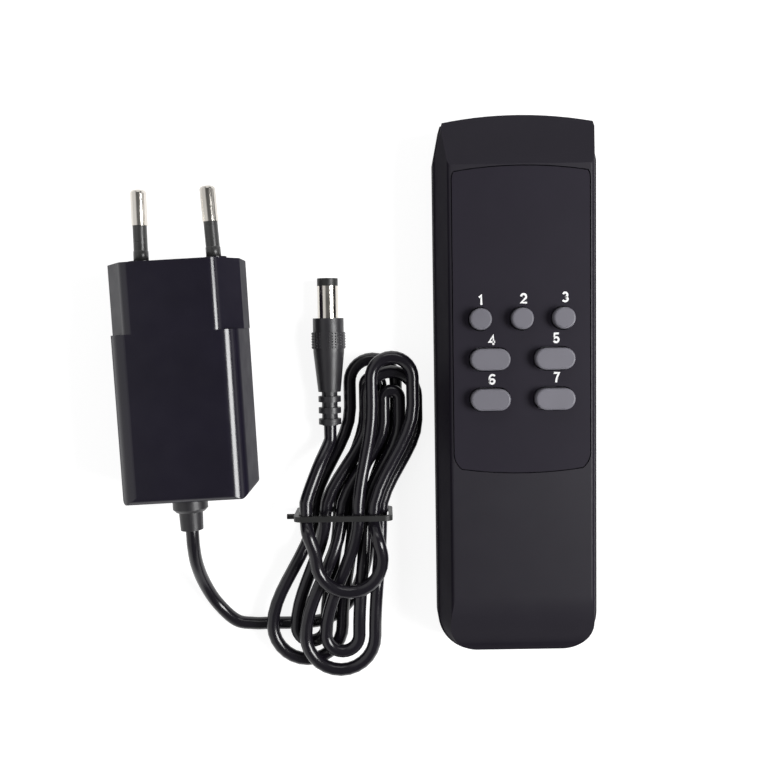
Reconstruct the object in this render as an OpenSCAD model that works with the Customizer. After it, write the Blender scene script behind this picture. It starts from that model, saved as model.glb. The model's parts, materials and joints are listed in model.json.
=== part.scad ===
// Accessory set of a video switch: a plug-in mains adapter with its tied cord, and a seven-key remote.
// Both items lie on the floor at z = 0. +Z is up, +Y runs along the remote towards its head, and the
// origin is at the bottom centre of the two items without the cord. Lengths are millimetres.

/* [Layout] */
// Overall width of the two items as they lie
set_w = 124; // [122:0.5:132]
// Turn of the adapter against the remote, in degrees
adapter_turn = 2.4; // [0:0.2:6]
// Place of the adapter's seam along the remote
adapter_y = 16; // [8:0.5:22]

/* [Remote case] */
// Length of the remote
remote_len = 139; // [136:0.5:150]
// Width of the remote
remote_w = 42; // [40:0.5:44]
// Height of the remote
remote_h = 20; // [19.4:0.1:23]
// Height of the seam between the two case halves
seam_z = 9.5; // [8.6:0.1:10]
// Step in from the lower case to the upper case
seam_step = 0.3; // [0.1:0.05:0.6]
// Width of the flat top face
top_w = 36; // [35.8:0.1:39]
// Rounding of the top edges
top_edge_r = 1; // [0.6:0.1:2]
// Rounding of the bottom edges
bottom_edge_r = 2.5; // [1.5:0.1:3.5]
// Corner radius at the head
head_corner_r = 4.5; // [4:0.5:6]
// Corner radius at the tail
tail_corner_r = 10; // [8:0.5:14]
// Narrowing of the head on each side
head_taper = 2.2; // [1:0.1:3]
// Length over which the head narrows
head_taper_len = 11; // [8:0.5:13]
// Rise of the arched head end
head_arch = 2.4; // [1.4:0.1:3]
// Length of the sloped head
head_slope = 13.5; // [11:0.5:14]
// Drop of the sloped head
head_drop = 6.5; // [5:0.1:7]
// Length of the curved tail
tail_slope = 17; // [13:0.5:19]
// Drop of the curved tail
tail_drop = 8; // [6:0.1:8.6]
// Wall of both case halves
case_wall = 1.6; // [1.2:0.1:1.8]

/* [Face panel and keys] */
// Width of the face panel
panel_w = 34; // [33:0.1:34.6]
// Length of the face panel
panel_len = 76; // [72:0.5:76.5]
// Thickness of the face panel
panel_t = 1.2; // [0.8:0.1:1.4]
// Arch of the panel's ends
panel_arch = 1.4; // [0.8:0.1:2]
// Corner radius of the panel's head end
panel_head_r = 3; // [2:0.5:5]
// Corner radius of the panel's tail end
panel_tail_r = 5; // [3:0.5:7]
// Groove around the panel
panel_gap = 0.25; // [0.15:0.05:0.4]
// Place of the panel's head end along the remote
panel_head_y = 55.5; // [54.5:0.25:55.75]
// Diameter of the round keys and width of the oval ones
key_d = 5.4; // [4.6:0.1:5.8]
// Length of the oval keys
key_len = 9.8; // [8:0.1:10.4]
// Height of a key above the panel
key_proud = 2.6; // [1.8:0.1:3.2]
// Travel of a key
key_travel = 0.8; // [0.5:0.05:1]
// Gap between a key and its hole
key_gap = 0.3; // [0.25:0.05:0.4]
// Width of the flange that keeps a key in
key_flange = 0.9; // [0.7:0.05:1.1]
// Thickness of that flange
key_flange_t = 1.2; // [0.9:0.1:1.4]
// Pitch of the round keys
round_pitch = 10.3; // [9:0.1:10.6]
// Pitch of the oval keys
oval_pitch = 16; // [14.5:0.1:16.4]
// Pitch of the key rows
row_pitch = 10; // [9:0.1:10.4]
// Place of the first key row along the remote
first_row_y = 18; // [16:0.25:20]

/* [Inside the remote] */
// Thickness of the circuit board
board_t = 1.2; // [0.8:0.1:1.6]
// Thickness of the rubber key mat
mat_t = 0.9; // [0.6:0.1:1.2]
// Height of the mat's domes above the mat
dome_h = 1.4; // [1.1:0.1:1.8]
// Width of the circuit board
board_w = 33; // [31:0.25:33.5]
// Diameter of a battery cell
cell_d = 10.5; // [9.9:0.1:10.5]
// Length of a battery cell
cell_len = 44.5; // [43:0.1:44.5]
// Gap around the cells
cell_gap = 0.3; // [0.2:0.05:0.4]
// Width of the battery door
door_w = 27; // [24:0.5:28]
// Thickness of the battery door
door_t = 1.6; // [1.2:0.1:1.8]
// Gap around the battery door
door_gap = 0.15; // [0.1:0.05:0.25]
// Reach of the door's runners beside its opening
runner_w = 1.4; // [1:0.1:1.6]
// Diameter of the infrared lamp
lamp_d = 5; // [4.6:0.1:5]

/* [Adapter] */
// Length of the adapter's lower body
body_len = 42; // [40:0.5:48]
// Width of the lower body
body_w = 31.5; // [30:0.25:32.5]
// Thickness of the adapter
adapter_h = 26; // [25:0.25:29]
// Edge radius at the end of the lower body
body_edge_r = 2; // [1:0.1:2.5]
// Radius of the lower body's long edges
body_side_r = 4.5; // [2.5:0.1:5.5]
// Wall of the adapter's case
adapter_wall = 2; // [1.6:0.1:2.4]
// Length of the plug end
plug_len = 17.5; // [16:0.5:20]
// Width of the plug end
plug_w = 33; // [32.6:0.1:35]
// Width of the plug end's flat top and bottom
plug_flat_w = 22.5; // [20:0.5:25]
// Height of the plug end's upright sides
plug_side_h = 10; // [8:0.5:12]
// Edge rounding of the plug end
plug_edge_r = 3; // [1:0.1:4]

/* [Mains pins] */
// Diameter of a mains pin
pin_d = 4; // [3.9:0.01:4.1]
// Length of a mains pin outside the case
pin_len = 19; // [18:0.1:20]
// Length of the insulating sleeve
sleeve_len = 10; // [9:0.1:11]
// Diameter of the insulating sleeve
sleeve_d = 3.55; // [3.4:0.05:3.55]
// Diameter of the pin inside its sleeve
pin_core_d = 2.6; // [2:0.1:3]
// Spacing of the pins
pin_pitch = 18.6; // [17.5:0.1:19.2]
// Diameter of the boss at each pin
pin_boss_d = 6.4; // [5.6:0.1:7.5]
// Height of that boss
pin_boss_h = 1; // [0.5:0.1:2]

/* [Cord and its plug] */
// Diameter of the cord
cord_d = 3.4; // [3:0.1:3.4]
// Width of the strain relief's collar
relief_w = 9; // [8.4:0.1:10]
// Length of that collar
relief_len = 4.4; // [3.6:0.1:5]
// Place of the strain relief across the adapter
relief_x = -1.2; // [-2:0.1:2]
// Diameter of the strain relief's neck
neck_d = 6.2; // [5.4:0.1:6.6]
// Length of that neck
neck_len = 4.8; // [4:0.1:6]
// Diameter of the plug's barrel
barrel_d = 5.5; // [5:0.1:5.5]
// Length of the plug's barrel
barrel_len = 10.5; // [9.5:0.1:11.5]
// Bore of the plug
plug_bore_d = 2.1; // [2:0.1:2.5]
// Length of the black ring at the barrel's end
tip_ring_len = 2; // [1.5:0.1:2.5]
// Diameter of the plug's boot
boot_d = 8.8; // [8.2:0.1:9.6]
// Length of the boot's thick part
boot_len = 9; // [8:0.1:10]
// Length of the boot's taper
boot_taper_len = 10.5; // [9:0.1:12]
// Length of the boot's ribbed end
boot_rib_len = 9; // [8:0.1:10]
// Diameter of the boot's ribs
boot_rib_d = 6; // [5.9:0.1:6.6]

/* [Hidden] */
$fn = 64;

// Spare length of a cutting solid past the face that it cuts
spare = 1;
// Clearance of pieces that sit in each other
fit = 0.05;

// Remote: places along the length, and heights from the panel down to the board
remote_x = set_w / 2 - remote_w / 2;
half_len = remote_len / 2;
face_wall = 1.3;
key_rest_gap = 0.3;
dome_gap = 0.1;
ceiling_z = remote_h - panel_t - face_wall;
flange_z = ceiling_z - key_rest_gap - key_flange_t;
dome_z = flange_z - key_travel - dome_gap;
mat_z = dome_z - dome_h - mat_t;
board_z = mat_z - board_t;
third_row_y = first_row_y - 2 * row_pitch;
dome_wall = 0.5;
mat_margin = 1;
mat_tail_y = third_row_y - key_d / 2 - mat_margin;
mat_head_y = first_row_y + key_d / 2 + mat_margin;
mat_w = oval_pitch + key_len + 2 * mat_margin;
lamp_len = 8.6;
lamp_sink = 0.4;
lamp_back_y = half_len - lamp_sink - lamp_len;
lead_len = 3;
board_tail_y = mat_tail_y - mat_margin;
board_head_y = lamp_back_y - lead_len / 2;
key_round_r = 0.5;

// Each key: its place across the remote, its place along it and its length
KEYS = [
    [-round_pitch, first_row_y, key_d], [0, first_row_y, key_d], [round_pitch, first_row_y, key_d],
    [-oval_pitch / 2, first_row_y - row_pitch, key_len], [oval_pitch / 2, first_row_y - row_pitch, key_len],
    [-oval_pitch / 2, third_row_y, key_len], [oval_pitch / 2, third_row_y, key_len]];

// Battery bay: ribs, contact plates, cells and door
rib_t = 1.5;
plate_t = 0.5;
contact_len = 2.5;
nub_len = 1;
nub_r = 1.9;
door_top_gap = 0.2;
runner_t = 1;
runner_z = max(case_wall, door_t - runner_t) + door_gap;
runner_top_z = max(runner_z + runner_t, door_t);
bay_head_y = board_tail_y;
cell_head_y = bay_head_y - plate_t - contact_len;
cell_tail_y = cell_head_y - cell_len;
bay_tail_y = cell_tail_y - contact_len - plate_t;
cell_x = cell_d / 2 + cell_gap;
cell_z = door_t + cell_gap + cell_d / 2;
door_head_y = bay_head_y - door_top_gap - door_gap;
rib_z = runner_top_z + door_top_gap;

// Case screws and their bosses
screw_x = 12.5;
screw_y = (mat_head_y + board_head_y) / 2;
screw_r = 1.2;
screw_head_r = 2.2;
screw_head_t = 1.6;
screw_seat_z = 4;
screw_end_gap = 1;
boss_r = 3;
boss_sink_r = screw_head_r + 0.2;
screw_hole_r = screw_r + 0.2;

// Adapter: the place of its seam, the joint of its halves and the board inside
adapter_x = plug_w / 2 * cos(adapter_turn) + plug_len * sin(adapter_turn) - set_w / 2;
axis_z = adapter_h / 2;
pin_lean = 1.6;
pin_root_len = 6;
pin_tip_r = 0.9;
spigot_w = 24;
spigot_h = 16;
spigot_len = 3.5;
spigot_wall = 1.2;
plate_wall = 1.6;
rail_w = 2.5;
rail_h = 3;
mains_board_t = 1.6;
mains_board_z = adapter_wall + rail_h;
mains_board_top = mains_board_z + mains_board_t;
mains_board_w = body_w - 2 * adapter_wall - 0.6;
mains_board_len = body_len - adapter_wall - plate_wall - spigot_len - 2;
mains_board_y = -plate_wall - spigot_len - mains_board_len / 2;
board_edge = 0.5;
part_gap = 0.5;
input_d = 8;
input_h = 14;
output_d = 6.3;
output_h = 11;
core_w = 16;
core_h = 13;
core_limb = 2.6;
winding_over = 1.5;
winding_len = mains_board_len - 2 * (board_edge + max(input_d, output_d) + part_gap);
core_len = winding_len - 2 * winding_over;
lead_w = 1.2;
lead_t = 0.8;
relief_flange_d = relief_w + 1;
relief_flange_t = 1.2;
relief_shaft_d = neck_d + 0.6;

// Hank of the cord: its place keeps a distance from the remote, and its loops lie in layers of this pitch
hank_x = set_w / 2 - remote_w - 20;
cord_r = cord_d / 2;
layer_pitch = cord_d + 0.5;
waist_x = -2.8;
waist_y = -33;
tie_w = 1.4;
tie_t = 1.1;
tie_gap = 0.3;
waist_lift = tie_t + tie_gap;
lift_len = 16;

// Strands through the waist in the order of the cord: place across the waist and layer
WAIST = [[4.8, 0], [-10, 0], [0.6, 0], [-3.4, 0], [-6.8, 1], [8, 1],
    [-2.4, 1], [3.8, 1], [2, 2], [6, 2], [-11.6, 2]];
// Upper and lower ends of the loops in the same order: middle, outermost place, radius and layer
UPPER = [[3.5, 8, 6.2, 0], [3.5, 3, 2.1, 0], [8.4, 4.6, 6.6, 1], [8.4, -0.4, 2.1, 1], [8.6, 8.6, 5.4, 2]];
LOWER = [[-15, -72.8, 9.4, 1], [-14, -67.8, 4, 1], [-6, -74.4, 9.2, 2], [-5.4, -69.4, 4.4, 2],
    [-3.2, -52.4, 8.6, 3]];
leg_steps = 4;
end_steps = 6;

// Lead on the floor from where it lands to the waist, across the hank
FLOOR = [[-35, -63], [-30, -64], [-25, -64], [-19, -64], [-12, -63.5], [-6.6, -61], [-2.4, -56],
    [0.4, -49], [1.7, -42]];
// Falling lead: share of the way down, swing to the side and change of height
FALL = [[0.36, -2.9, 0.9], [0.6, -3.9, -0.8], [0.82, -3.2, -1.3]];
spline_steps = 3;
end_run = 1.1 * cord_d;

// Plug of the cord: where its boot begins, and its axis
dc_x = hank_x - 8;
dc_y = 19;
dc_z = boot_d / 2;
boot_end_y = dc_y - boot_len - boot_taper_len - boot_rib_len;
barrel_wall = 0.5;
contact_wall = 0.4;

// Remote: flat outline with its own corner radius at each end, head towards +Y
module end_rounded(w, len, head_r, tail_r) {
    translate([-w / 2 + head_r, 0]) square([w - 2 * head_r, len / 2]);
    translate([-w / 2, 0]) square([w, len / 2 - head_r]);
    translate([-w / 2 + tail_r, -len / 2]) square([w - 2 * tail_r, len / 2]);
    translate([-w / 2, -len / 2 + tail_r]) square([w, len / 2 - tail_r]);
    for (side = [-1, 1]) {
        translate([side * (w / 2 - head_r), len / 2 - head_r]) circle(head_r);
        translate([side * (w / 2 - tail_r), -len / 2 + tail_r]) circle(tail_r);
    }
}

function arch_r(w, rise) = (w * w / 4 + rise * rise) / (2 * rise);

// Bounds of the head: its arched end, and sides that draw in towards it
module head_bounds(inset) {
    head_r = arch_r(remote_w, head_arch);
    draw = head_taper / head_taper_len;
    head_y = half_len + spare;
    head_x = remote_w / 2 - inset - head_taper - draw * spare;
    tail_x = head_x + draw * (remote_len + 2 * spare);
    intersection() {
        translate([0, half_len - head_r]) circle(head_r - inset, $fn = 256);
        polygon([[-head_x, head_y], [head_x, head_y], [tail_x, -head_y], [-tail_x, -head_y]]);
    }
}

module remote_outline(inset, tail_r) {
    intersection() {
        end_rounded(remote_w - 2 * inset, remote_len - 2 * inset,
            head_corner_r - inset, tail_r - inset);
        head_bounds(inset);
    }
}

// A flat profile drawn across X and Z, run along Y
module along_y(len) {
    rotate([90, 0, 0]) linear_extrude(len, center = true) children();
}

// A flat profile drawn across Y and Z, run along X
module along_x(len) {
    rotate([90, 0, 90]) linear_extrude(len, center = true) children();
}

// Box profile that stands on foot_z with rounded lower corners
module rounded_foot(w, foot_z, top_z, r) {
    translate([-w / 2, foot_z + r]) square([w, top_z - foot_z - r]);
    translate([-w / 2 + r, foot_z]) square([w - 2 * r, top_z - foot_z]);
    for (side = [-1, 1]) translate([side * (w / 2 - r), foot_z + r]) circle(r);
}

// Cross-section of the upper case: sides that lean in, with rounded top edges
module upper_section(inset, roof, foot_z, edge_r) {
    lean = atan((remote_w / 2 - seam_step - top_w / 2) / (remote_h - seam_z));
    top_z = remote_h - roof;
    seam_x = remote_w / 2 - seam_step - inset / cos(lean);
    foot_x = seam_x - (foot_z - seam_z) * tan(lean);
    centre_x = seam_x - (top_z - edge_r - seam_z) * tan(lean) - edge_r / cos(lean);
    side_x = centre_x + edge_r * cos(lean);
    side_z = top_z - edge_r + edge_r * sin(lean);
    polygon([[-foot_x, foot_z], [foot_x, foot_z], [side_x, side_z], [centre_x, top_z],
        [-centre_x, top_z], [-side_x, side_z]]);
    for (side = [-1, 1]) translate([side * centre_x, top_z - edge_r]) circle(edge_r);
}

// Lengthwise profile of the upper case: a flat top, a sloped head and a curved tail
module upper_profile(inset, roof, foot_z) {
    slope = atan(head_drop / head_slope);
    tail_r = (tail_slope * tail_slope + tail_drop * tail_drop) / (2 * tail_drop);
    top_z = remote_h - roof;
    end_y = half_len - inset;
    tail_y = tail_slope - half_len;
    bend_y = half_len - head_slope + (roof - inset / cos(slope)) / tan(slope);
    end_z = top_z - (end_y - bend_y) * tan(slope);
    intersection() {
        union() {
            polygon([[tail_y, foot_z], [end_y, foot_z], [end_y, end_z], [bend_y, top_z], [tail_y, top_z]]);
            translate([tail_y, remote_h - tail_r]) circle(tail_r - roof, $fn = 128);
        }
        translate([-end_y, foot_z]) square([2 * end_y, remote_h]);
    }
}

// Outermost stretch of the upper case's cross-section, as wide as the tail's corner, moved to x = 0
module upper_side(inset, roof, foot_z, edge_r) {
    intersection() {
        translate([tail_corner_r - remote_w / 2, 0]) upper_section(inset, roof, foot_z, edge_r);
        translate([0, foot_z]) square([tail_corner_r, remote_h]);
    }
}

// Tail end of the upper case: its leaning side is carried round both corners
module upper_tail(inset, roof, foot_z, edge_r) {
    translate([0, tail_corner_r - half_len, 0]) {
        for (side = [-1, 1]) translate([side * (remote_w / 2 - tail_corner_r), 0, 0])
            rotate_extrude() upper_side(inset, roof, foot_z, edge_r);
        mirror([0, 1, 0]) along_x(remote_w - 2 * tail_corner_r) upper_side(inset, roof, foot_z, edge_r);
    }
}

// Outer form of the upper case, or the hollow in it, from foot_z up
module upper_form(inset, roof, foot_z, edge_r) {
    intersection() {
        translate([0, 0, foot_z]) linear_extrude(remote_h)
            remote_outline(seam_step + inset, tail_corner_r / 2);
        union() {
            translate([0, (tail_corner_r + spare) / 2, 0]) along_y(remote_len - tail_corner_r + spare)
                upper_section(inset, roof, foot_z, edge_r);
            upper_tail(inset, roof, foot_z, edge_r);
        }
        along_x(2 * remote_w) upper_profile(inset, roof, foot_z);
    }
}

// Outer form of the lower case, or the hollow in it, up to top_z
module lower_form(inset, top_z) {
    r = max(bottom_edge_r - inset, 0.4);
    intersection() {
        linear_extrude(top_z) remote_outline(inset, tail_corner_r);
        along_y(2 * remote_len) rounded_foot(remote_w - 2 * inset, inset, top_z, r);
        along_x(2 * remote_w) rounded_foot(remote_len - 2 * inset, inset, top_z, r);
    }
}

module panel_outline(grow) {
    end_r = arch_r(panel_w, panel_arch);
    mid_y = panel_head_y - panel_len / 2;
    translate([0, mid_y]) intersection() {
        end_rounded(panel_w + 2 * grow, panel_len + 2 * grow, panel_head_r + grow, panel_tail_r + grow);
        translate([0, panel_len / 2 - end_r]) circle(end_r + grow, $fn = 256);
        translate([0, end_r - panel_len / 2]) circle(end_r + grow, $fn = 256);
    }
}

// Flat shape of a key: a circle where its length is its width, otherwise a slot
module key_shape(key, grow) {
    run = key[2] - key_d;
    translate([key[0], key[1]]) {
        for (side = [-1, 1]) translate([side * run / 2, 0]) circle(key_d / 2 + grow);
        if (run > 0) square([run, key_d + 2 * grow], center = true);
    }
}

module key_holes(foot_z, top_z) {
    for (key = KEYS) translate([0, 0, foot_z]) linear_extrude(top_z - foot_z) key_shape(key, key_gap);
}

module in_remote() {
    translate([remote_x, 0, 0]) children();
}

module screw_places() {
    for (side = [-1, 1]) translate([side * screw_x, screw_y, 0]) children();
}

module lamp_hole() {
    translate([0, half_len + spare, seam_z]) rotate([90, 0, 0])
        cylinder(d = lamp_d + 2 * fit, h = lamp_len + spare, $fn = 48);
}

module remote_upper_case() {
    color("#26242a") in_remote() difference() {
        union() {
            difference() {
                upper_form(0, 0, seam_z, top_edge_r);
                upper_form(case_wall, panel_t + face_wall, seam_z - spare, 0.4);
            }
            screw_places() translate([0, 0, board_z + board_t])
                cylinder(r = boss_r, h = ceiling_z - board_z - board_t + fit);
        }
        translate([0, 0, remote_h - panel_t]) linear_extrude(panel_t + spare) panel_outline(panel_gap);
        key_holes(ceiling_z - spare, remote_h);
        lamp_hole();
        screw_places() translate([0, 0, board_z])
            cylinder(r = screw_r + fit, h = ceiling_z - screw_end_gap - board_z);
    }
}

// Opening in the lower case that the door and its runners slide through
module door_opening() {
    len = half_len + door_head_y + door_gap;
    translate([-door_w / 2 - door_gap, door_head_y + door_gap - len - spare, -spare])
        cube([door_w + 2 * door_gap, len + spare, spare + runner_top_z + door_top_gap]);
    translate([-door_w / 2 - runner_w - door_gap, door_head_y + door_gap - len - spare, case_wall])
        cube([door_w + 2 * runner_w + 2 * door_gap, len + spare, rib_z - case_wall]);
}

module remote_lower_case() {
    inner_w = remote_w - case_wall;
    color("#242228") in_remote() difference() {
        union() {
            difference() {
                lower_form(0, seam_z);
                lower_form(case_wall, seam_z + spare);
            }
            translate([-inner_w / 2, bay_head_y, case_wall / 2])
                cube([inner_w, rib_t, seam_z - case_wall / 2]);
            translate([-board_w / 2, bay_head_y, seam_z - fit])
                cube([board_w, rib_t, board_z - seam_z + fit]);
            translate([-inner_w / 2, bay_tail_y - rib_t, rib_z]) cube([inner_w, rib_t, seam_z - rib_z]);
            screw_places() translate([0, 0, case_wall / 2])
                cylinder(r = boss_r, h = board_z - case_wall / 2);
        }
        door_opening();
        lamp_hole();
        screw_places() {
            translate([0, 0, -spare]) cylinder(r = boss_sink_r, h = screw_seat_z + spare);
            translate([0, 0, -spare]) cylinder(r = screw_hole_r, h = board_z + 2 * spare);
        }
    }
}

// The door keeps the lower case's own outer form, and slides out towards -Y on two runners
module battery_door() {
    len = half_len + door_head_y;
    run_y0 = tail_corner_r - half_len;
    run_len = door_head_y - run_y0;
    grip_w = 12;
    grip_pitch = 2.4;
    grips = 4;
    color("#222026") in_remote() difference() {
        union() {
            intersection() {
                lower_form(0, seam_z);
                union() {
                    translate([-door_w / 2, -half_len, 0]) cube([door_w, len, door_t]);
                    translate([-door_w / 2, -half_len, 0]) cube([door_w, 2 * case_wall, runner_top_z]);
                }
            }
            for (side = [-1, 1]) {
                translate([side * door_w / 2 - runner_w, run_y0, runner_z])
                    cube([2 * runner_w, run_len, runner_t]);
                translate([side * (door_w - runner_w) / 2 - runner_w / 2, run_y0, door_t / 2])
                    cube([runner_w, run_len, runner_z + runner_t - door_t / 2]);
            }
        }
        for (i = [1:grips]) translate([-grip_w / 2, door_head_y - (i + 1) * grip_pitch, -spare])
            cube([grip_w, grip_pitch / 2, spare + door_t / 4]);
    }
}

module face_panel() {
    color("#302f34") in_remote() difference() {
        translate([0, 0, remote_h - panel_t]) linear_extrude(panel_t) panel_outline(0);
        key_holes(remote_h - panel_t - spare, remote_h + spare);
    }
}

// Half profile of a key cap with a rounded top edge
module key_profile(height) {
    square([key_d / 2 - key_round_r, height]);
    square([key_d / 2, height - key_round_r]);
    translate([key_d / 2 - key_round_r, height - key_round_r]) circle(key_round_r, $fn = 32);
}

module key_cap(index) {
    key = KEYS[index];
    run = key[2] - key_d;
    height = remote_h + key_proud - flange_z;
    color("#787880") in_remote() {
        translate([key[0], key[1], flange_z]) {
            for (side = [-1, 1]) translate([side * run / 2, 0, 0]) rotate_extrude() key_profile(height);
            if (run > 0) along_x(run) {
                key_profile(height);
                mirror([1, 0]) key_profile(height);
            }
        }
        translate([0, 0, flange_z]) linear_extrude(key_flange_t) key_shape(key, key_flange);
    }
}
module key_1() { key_cap(0); }
module key_2() { key_cap(1); }
module key_3() { key_cap(2); }
module key_4() { key_cap(3); }
module key_5() { key_cap(4); }
module key_6() { key_cap(5); }
module key_7() { key_cap(6); }

// Rubber sheet with a hollow dome under each key
module key_mat() {
    color("#5a5a60") in_remote() difference() {
        union() {
            translate([-mat_w / 2, mat_tail_y, mat_z]) cube([mat_w, mat_head_y - mat_tail_y, mat_t]);
            for (key = KEYS) translate([0, 0, mat_z]) linear_extrude(mat_t + dome_h) key_shape(key, 0);
        }
        for (key = KEYS) translate([0, 0, mat_z - spare])
            linear_extrude(spare + mat_t + dome_h - dome_wall) key_shape(key, -dome_wall);
    }
}

module remote_board() {
    color("#2f5a3a") in_remote() difference() {
        translate([-board_w / 2, board_tail_y, board_z])
            cube([board_w, board_head_y - board_tail_y, board_t]);
        screw_places() translate([0, 0, board_z - spare])
            cylinder(r = screw_hole_r, h = board_t + 2 * spare);
    }
}

module contact_pads() {
    pad_t = 0.2;
    color("#303030") in_remote() for (key = KEYS)
        translate([0, 0, mat_z]) linear_extrude(pad_t) key_shape(key, -dome_wall - key_gap);
}

// Lamp with its dome in the head's hole and two legs under the board
module infrared_lamp() {
    leg_w = 0.6;
    leg_pitch = 2.5;
    leg_z = seam_z + lamp_d / 4;
    color("#4a2a4a") in_remote() {
        translate([0, lamp_back_y, seam_z]) rotate([-90, 0, 0])
            cylinder(d = lamp_d, h = lamp_len - lamp_d / 2);
        translate([0, lamp_back_y + lamp_len - lamp_d / 2, seam_z]) sphere(d = lamp_d);
        for (side = [-1, 1]) {
            translate([side * leg_pitch / 2 - leg_w / 2, lamp_back_y - lead_len, leg_z - leg_w])
                cube([leg_w, lead_len + spare, leg_w]);
            translate([side * leg_pitch / 2 - leg_w / 2, lamp_back_y - lead_len, leg_z - leg_w])
                cube([leg_w, leg_w, board_z - leg_z + leg_w]);
        }
    }
}

module control_chip() {
    chip = [9, 6, 1.6];
    color("#202020") in_remote()
        translate([-chip[0] / 2, screw_y - chip[1] / 2, board_z - chip[2]]) cube(chip);
}

module resonator() {
    can = [7, 3, 4];
    color("#a8a48c") in_remote() translate([5, screw_y - 9, board_z - can[2]]) cube(can);
}

module storage_capacitor() {
    can_d = 5;
    can_h = 5.5;
    color("#38405a") in_remote()
        translate([-7, screw_y - 9, board_z - can_h]) cylinder(d = can_d, h = can_h);
}

// A cell whose nub points the way of side along Y
module battery_cell(side) {
    mid_y = (cell_head_y + cell_tail_y) / 2;
    in_remote() translate([-side * cell_x, mid_y, cell_z]) rotate([-90 * side, 0, 0]) {
        translate([0, 0, -cell_len / 2]) cylinder(d = cell_d, h = cell_len - nub_len);
        cylinder(r = nub_r, h = cell_len / 2);
    }
}
module battery_cell_1() { color("#b88a3a") battery_cell(1); }
module battery_cell_2() { color("#b88a3a") battery_cell(-1); }

// Contact plate at one end of the bay, from its outer face to the cells, over the places in sides
module contact_plate(face_y, dir, sides) {
    plate_w = cell_d - 1;
    spring_r = 3.2;
    for (side = sides) translate([side * cell_x, face_y, cell_z]) {
        translate([-plate_w / 2, min(0, dir * plate_t), -plate_w / 2]) cube([plate_w, plate_t, plate_w]);
        translate([0, dir * plate_t / 2, 0]) rotate([-90 * dir, 0, 0])
            cylinder(r1 = spring_r, r2 = nub_r, h = contact_len + plate_t / 2);
    }
}

module battery_bridge() {
    color("#c0c0c4") in_remote() {
        contact_plate(bay_head_y, -1, [-1, 1]);
        translate([-cell_x, bay_head_y - plate_t, cell_z - 2]) cube([2 * cell_x, plate_t, 4]);
    }
}
module battery_terminal_plus() { color("#c0c0c4") in_remote() contact_plate(bay_tail_y, 1, [1]); }
module battery_terminal_minus() { color("#c0c0c4") in_remote() contact_plate(bay_tail_y, 1, [-1]); }

module case_screw(side) {
    slot_w = 0.7;
    color("#8a8a8e") in_remote() translate([side * screw_x, screw_y, 0]) difference() {
        union() {
            translate([0, 0, screw_seat_z - screw_head_t]) cylinder(r = screw_head_r, h = screw_head_t);
            translate([0, 0, screw_seat_z - fit])
                cylinder(r = screw_r, h = ceiling_z - 2 * screw_end_gap - screw_seat_z);
        }
        for (turn = [0, 90]) translate([0, 0, screw_seat_z - screw_head_t]) rotate([0, 0, turn])
            cube([1.6 * screw_head_r, slot_w, slot_w * 2], center = true);
    }
}
module case_screw_left() { case_screw(-1); }
module case_screw_right() { case_screw(1); }

// Adapter: its own frame has the seam at y = 0, the pins towards +Y and the cord towards -Y
module in_adapter() {
    translate([adapter_x, adapter_y, 0]) rotate([0, 0, adapter_turn]) children();
}

module rounded_rect(x0, x1, y0, y1, r) {
    translate([x0 + r, y0]) square([x1 - x0 - 2 * r, y1 - y0]);
    translate([x0, y0 + r]) square([x1 - x0, y1 - y0 - 2 * r]);
    for (x = [x0 + r, x1 - r], y = [y0 + r, y1 - r]) translate([x, y]) circle(r);
}

// Box with rounded edges, flat at the seam
module body_form(inset) {
    r = max(body_edge_r - inset, 0.4);
    side_r = max(body_side_r - inset, 0.4);
    w = body_w - 2 * inset;
    intersection() {
        linear_extrude(adapter_h) rounded_foot(w, inset - body_len, 0, r);
        along_y(3 * body_len) rounded_rect(-w / 2, w / 2, inset, adapter_h - inset, side_r);
        along_x(2 * body_w) rounded_rect(inset - body_len, body_len, inset, adapter_h - inset, r);
    }
}

// Centred block across the seam, from y0 to y1
module seam_block(w, h, y0, y1) {
    translate([-w / 2, y0, axis_z - h / 2]) cube([w, y1 - y0, h]);
}

module adapter_body_case() {
    inner_w = body_w - 2 * adapter_wall;
    color("#1c1b1e") in_adapter() {
        difference() {
            body_form(0);
            intersection() {
                body_form(adapter_wall);
                seam_block(body_w, adapter_h, -body_len, -plate_wall);
            }
            seam_block(spigot_w + 2 * fit, spigot_h + 2 * fit, -plate_wall - spare, spare);
            translate([relief_x, -body_len - spare, axis_z]) rotate([-90, 0, 0])
                cylinder(d = relief_shaft_d + 2 * fit, h = adapter_wall + 2 * spare);
        }
        for (side = [-1, 1])
            translate([side * (inner_w / 2 + adapter_wall / 4 - rail_w / 2) - (rail_w + adapter_wall / 2) / 2,
                mains_board_y - mains_board_len / 2, adapter_wall / 2])
                cube([rail_w + adapter_wall / 2, mains_board_len, rail_h + adapter_wall / 2]);
    }
}

// Six-sided section with rounded upper and lower edges
module plug_section(inset) {
    fall = atan2((adapter_h - plug_side_h) / 2, (plug_w - plug_flat_w) / 2);
    r = max(plug_edge_r - inset, 0.4);
    half_w = plug_w / 2 - inset;
    half_h = adapter_h / 2 - inset;
    flat_x = plug_flat_w / 2 - inset * tan(fall / 2);
    side_z = half_h - (half_w - flat_x) * tan(fall);
    cut = r * tan(fall / 2);
    quarter = [[half_w, side_z], [flat_x + cut * cos(fall), half_h - cut * sin(fall)],
        [flat_x - cut, half_h]];
    translate([0, axis_z]) {
        polygon([for (p = quarter) p, for (i = [2:-1:0]) [-quarter[i][0], quarter[i][1]],
            for (p = quarter) -p, for (i = [2:-1:0]) [quarter[i][0], -quarter[i][1]]]);
        for (x = [-1, 1], z = [-1, 1]) translate([x * (flat_x - cut), z * (half_h - r)]) circle(r);
    }
}

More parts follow.
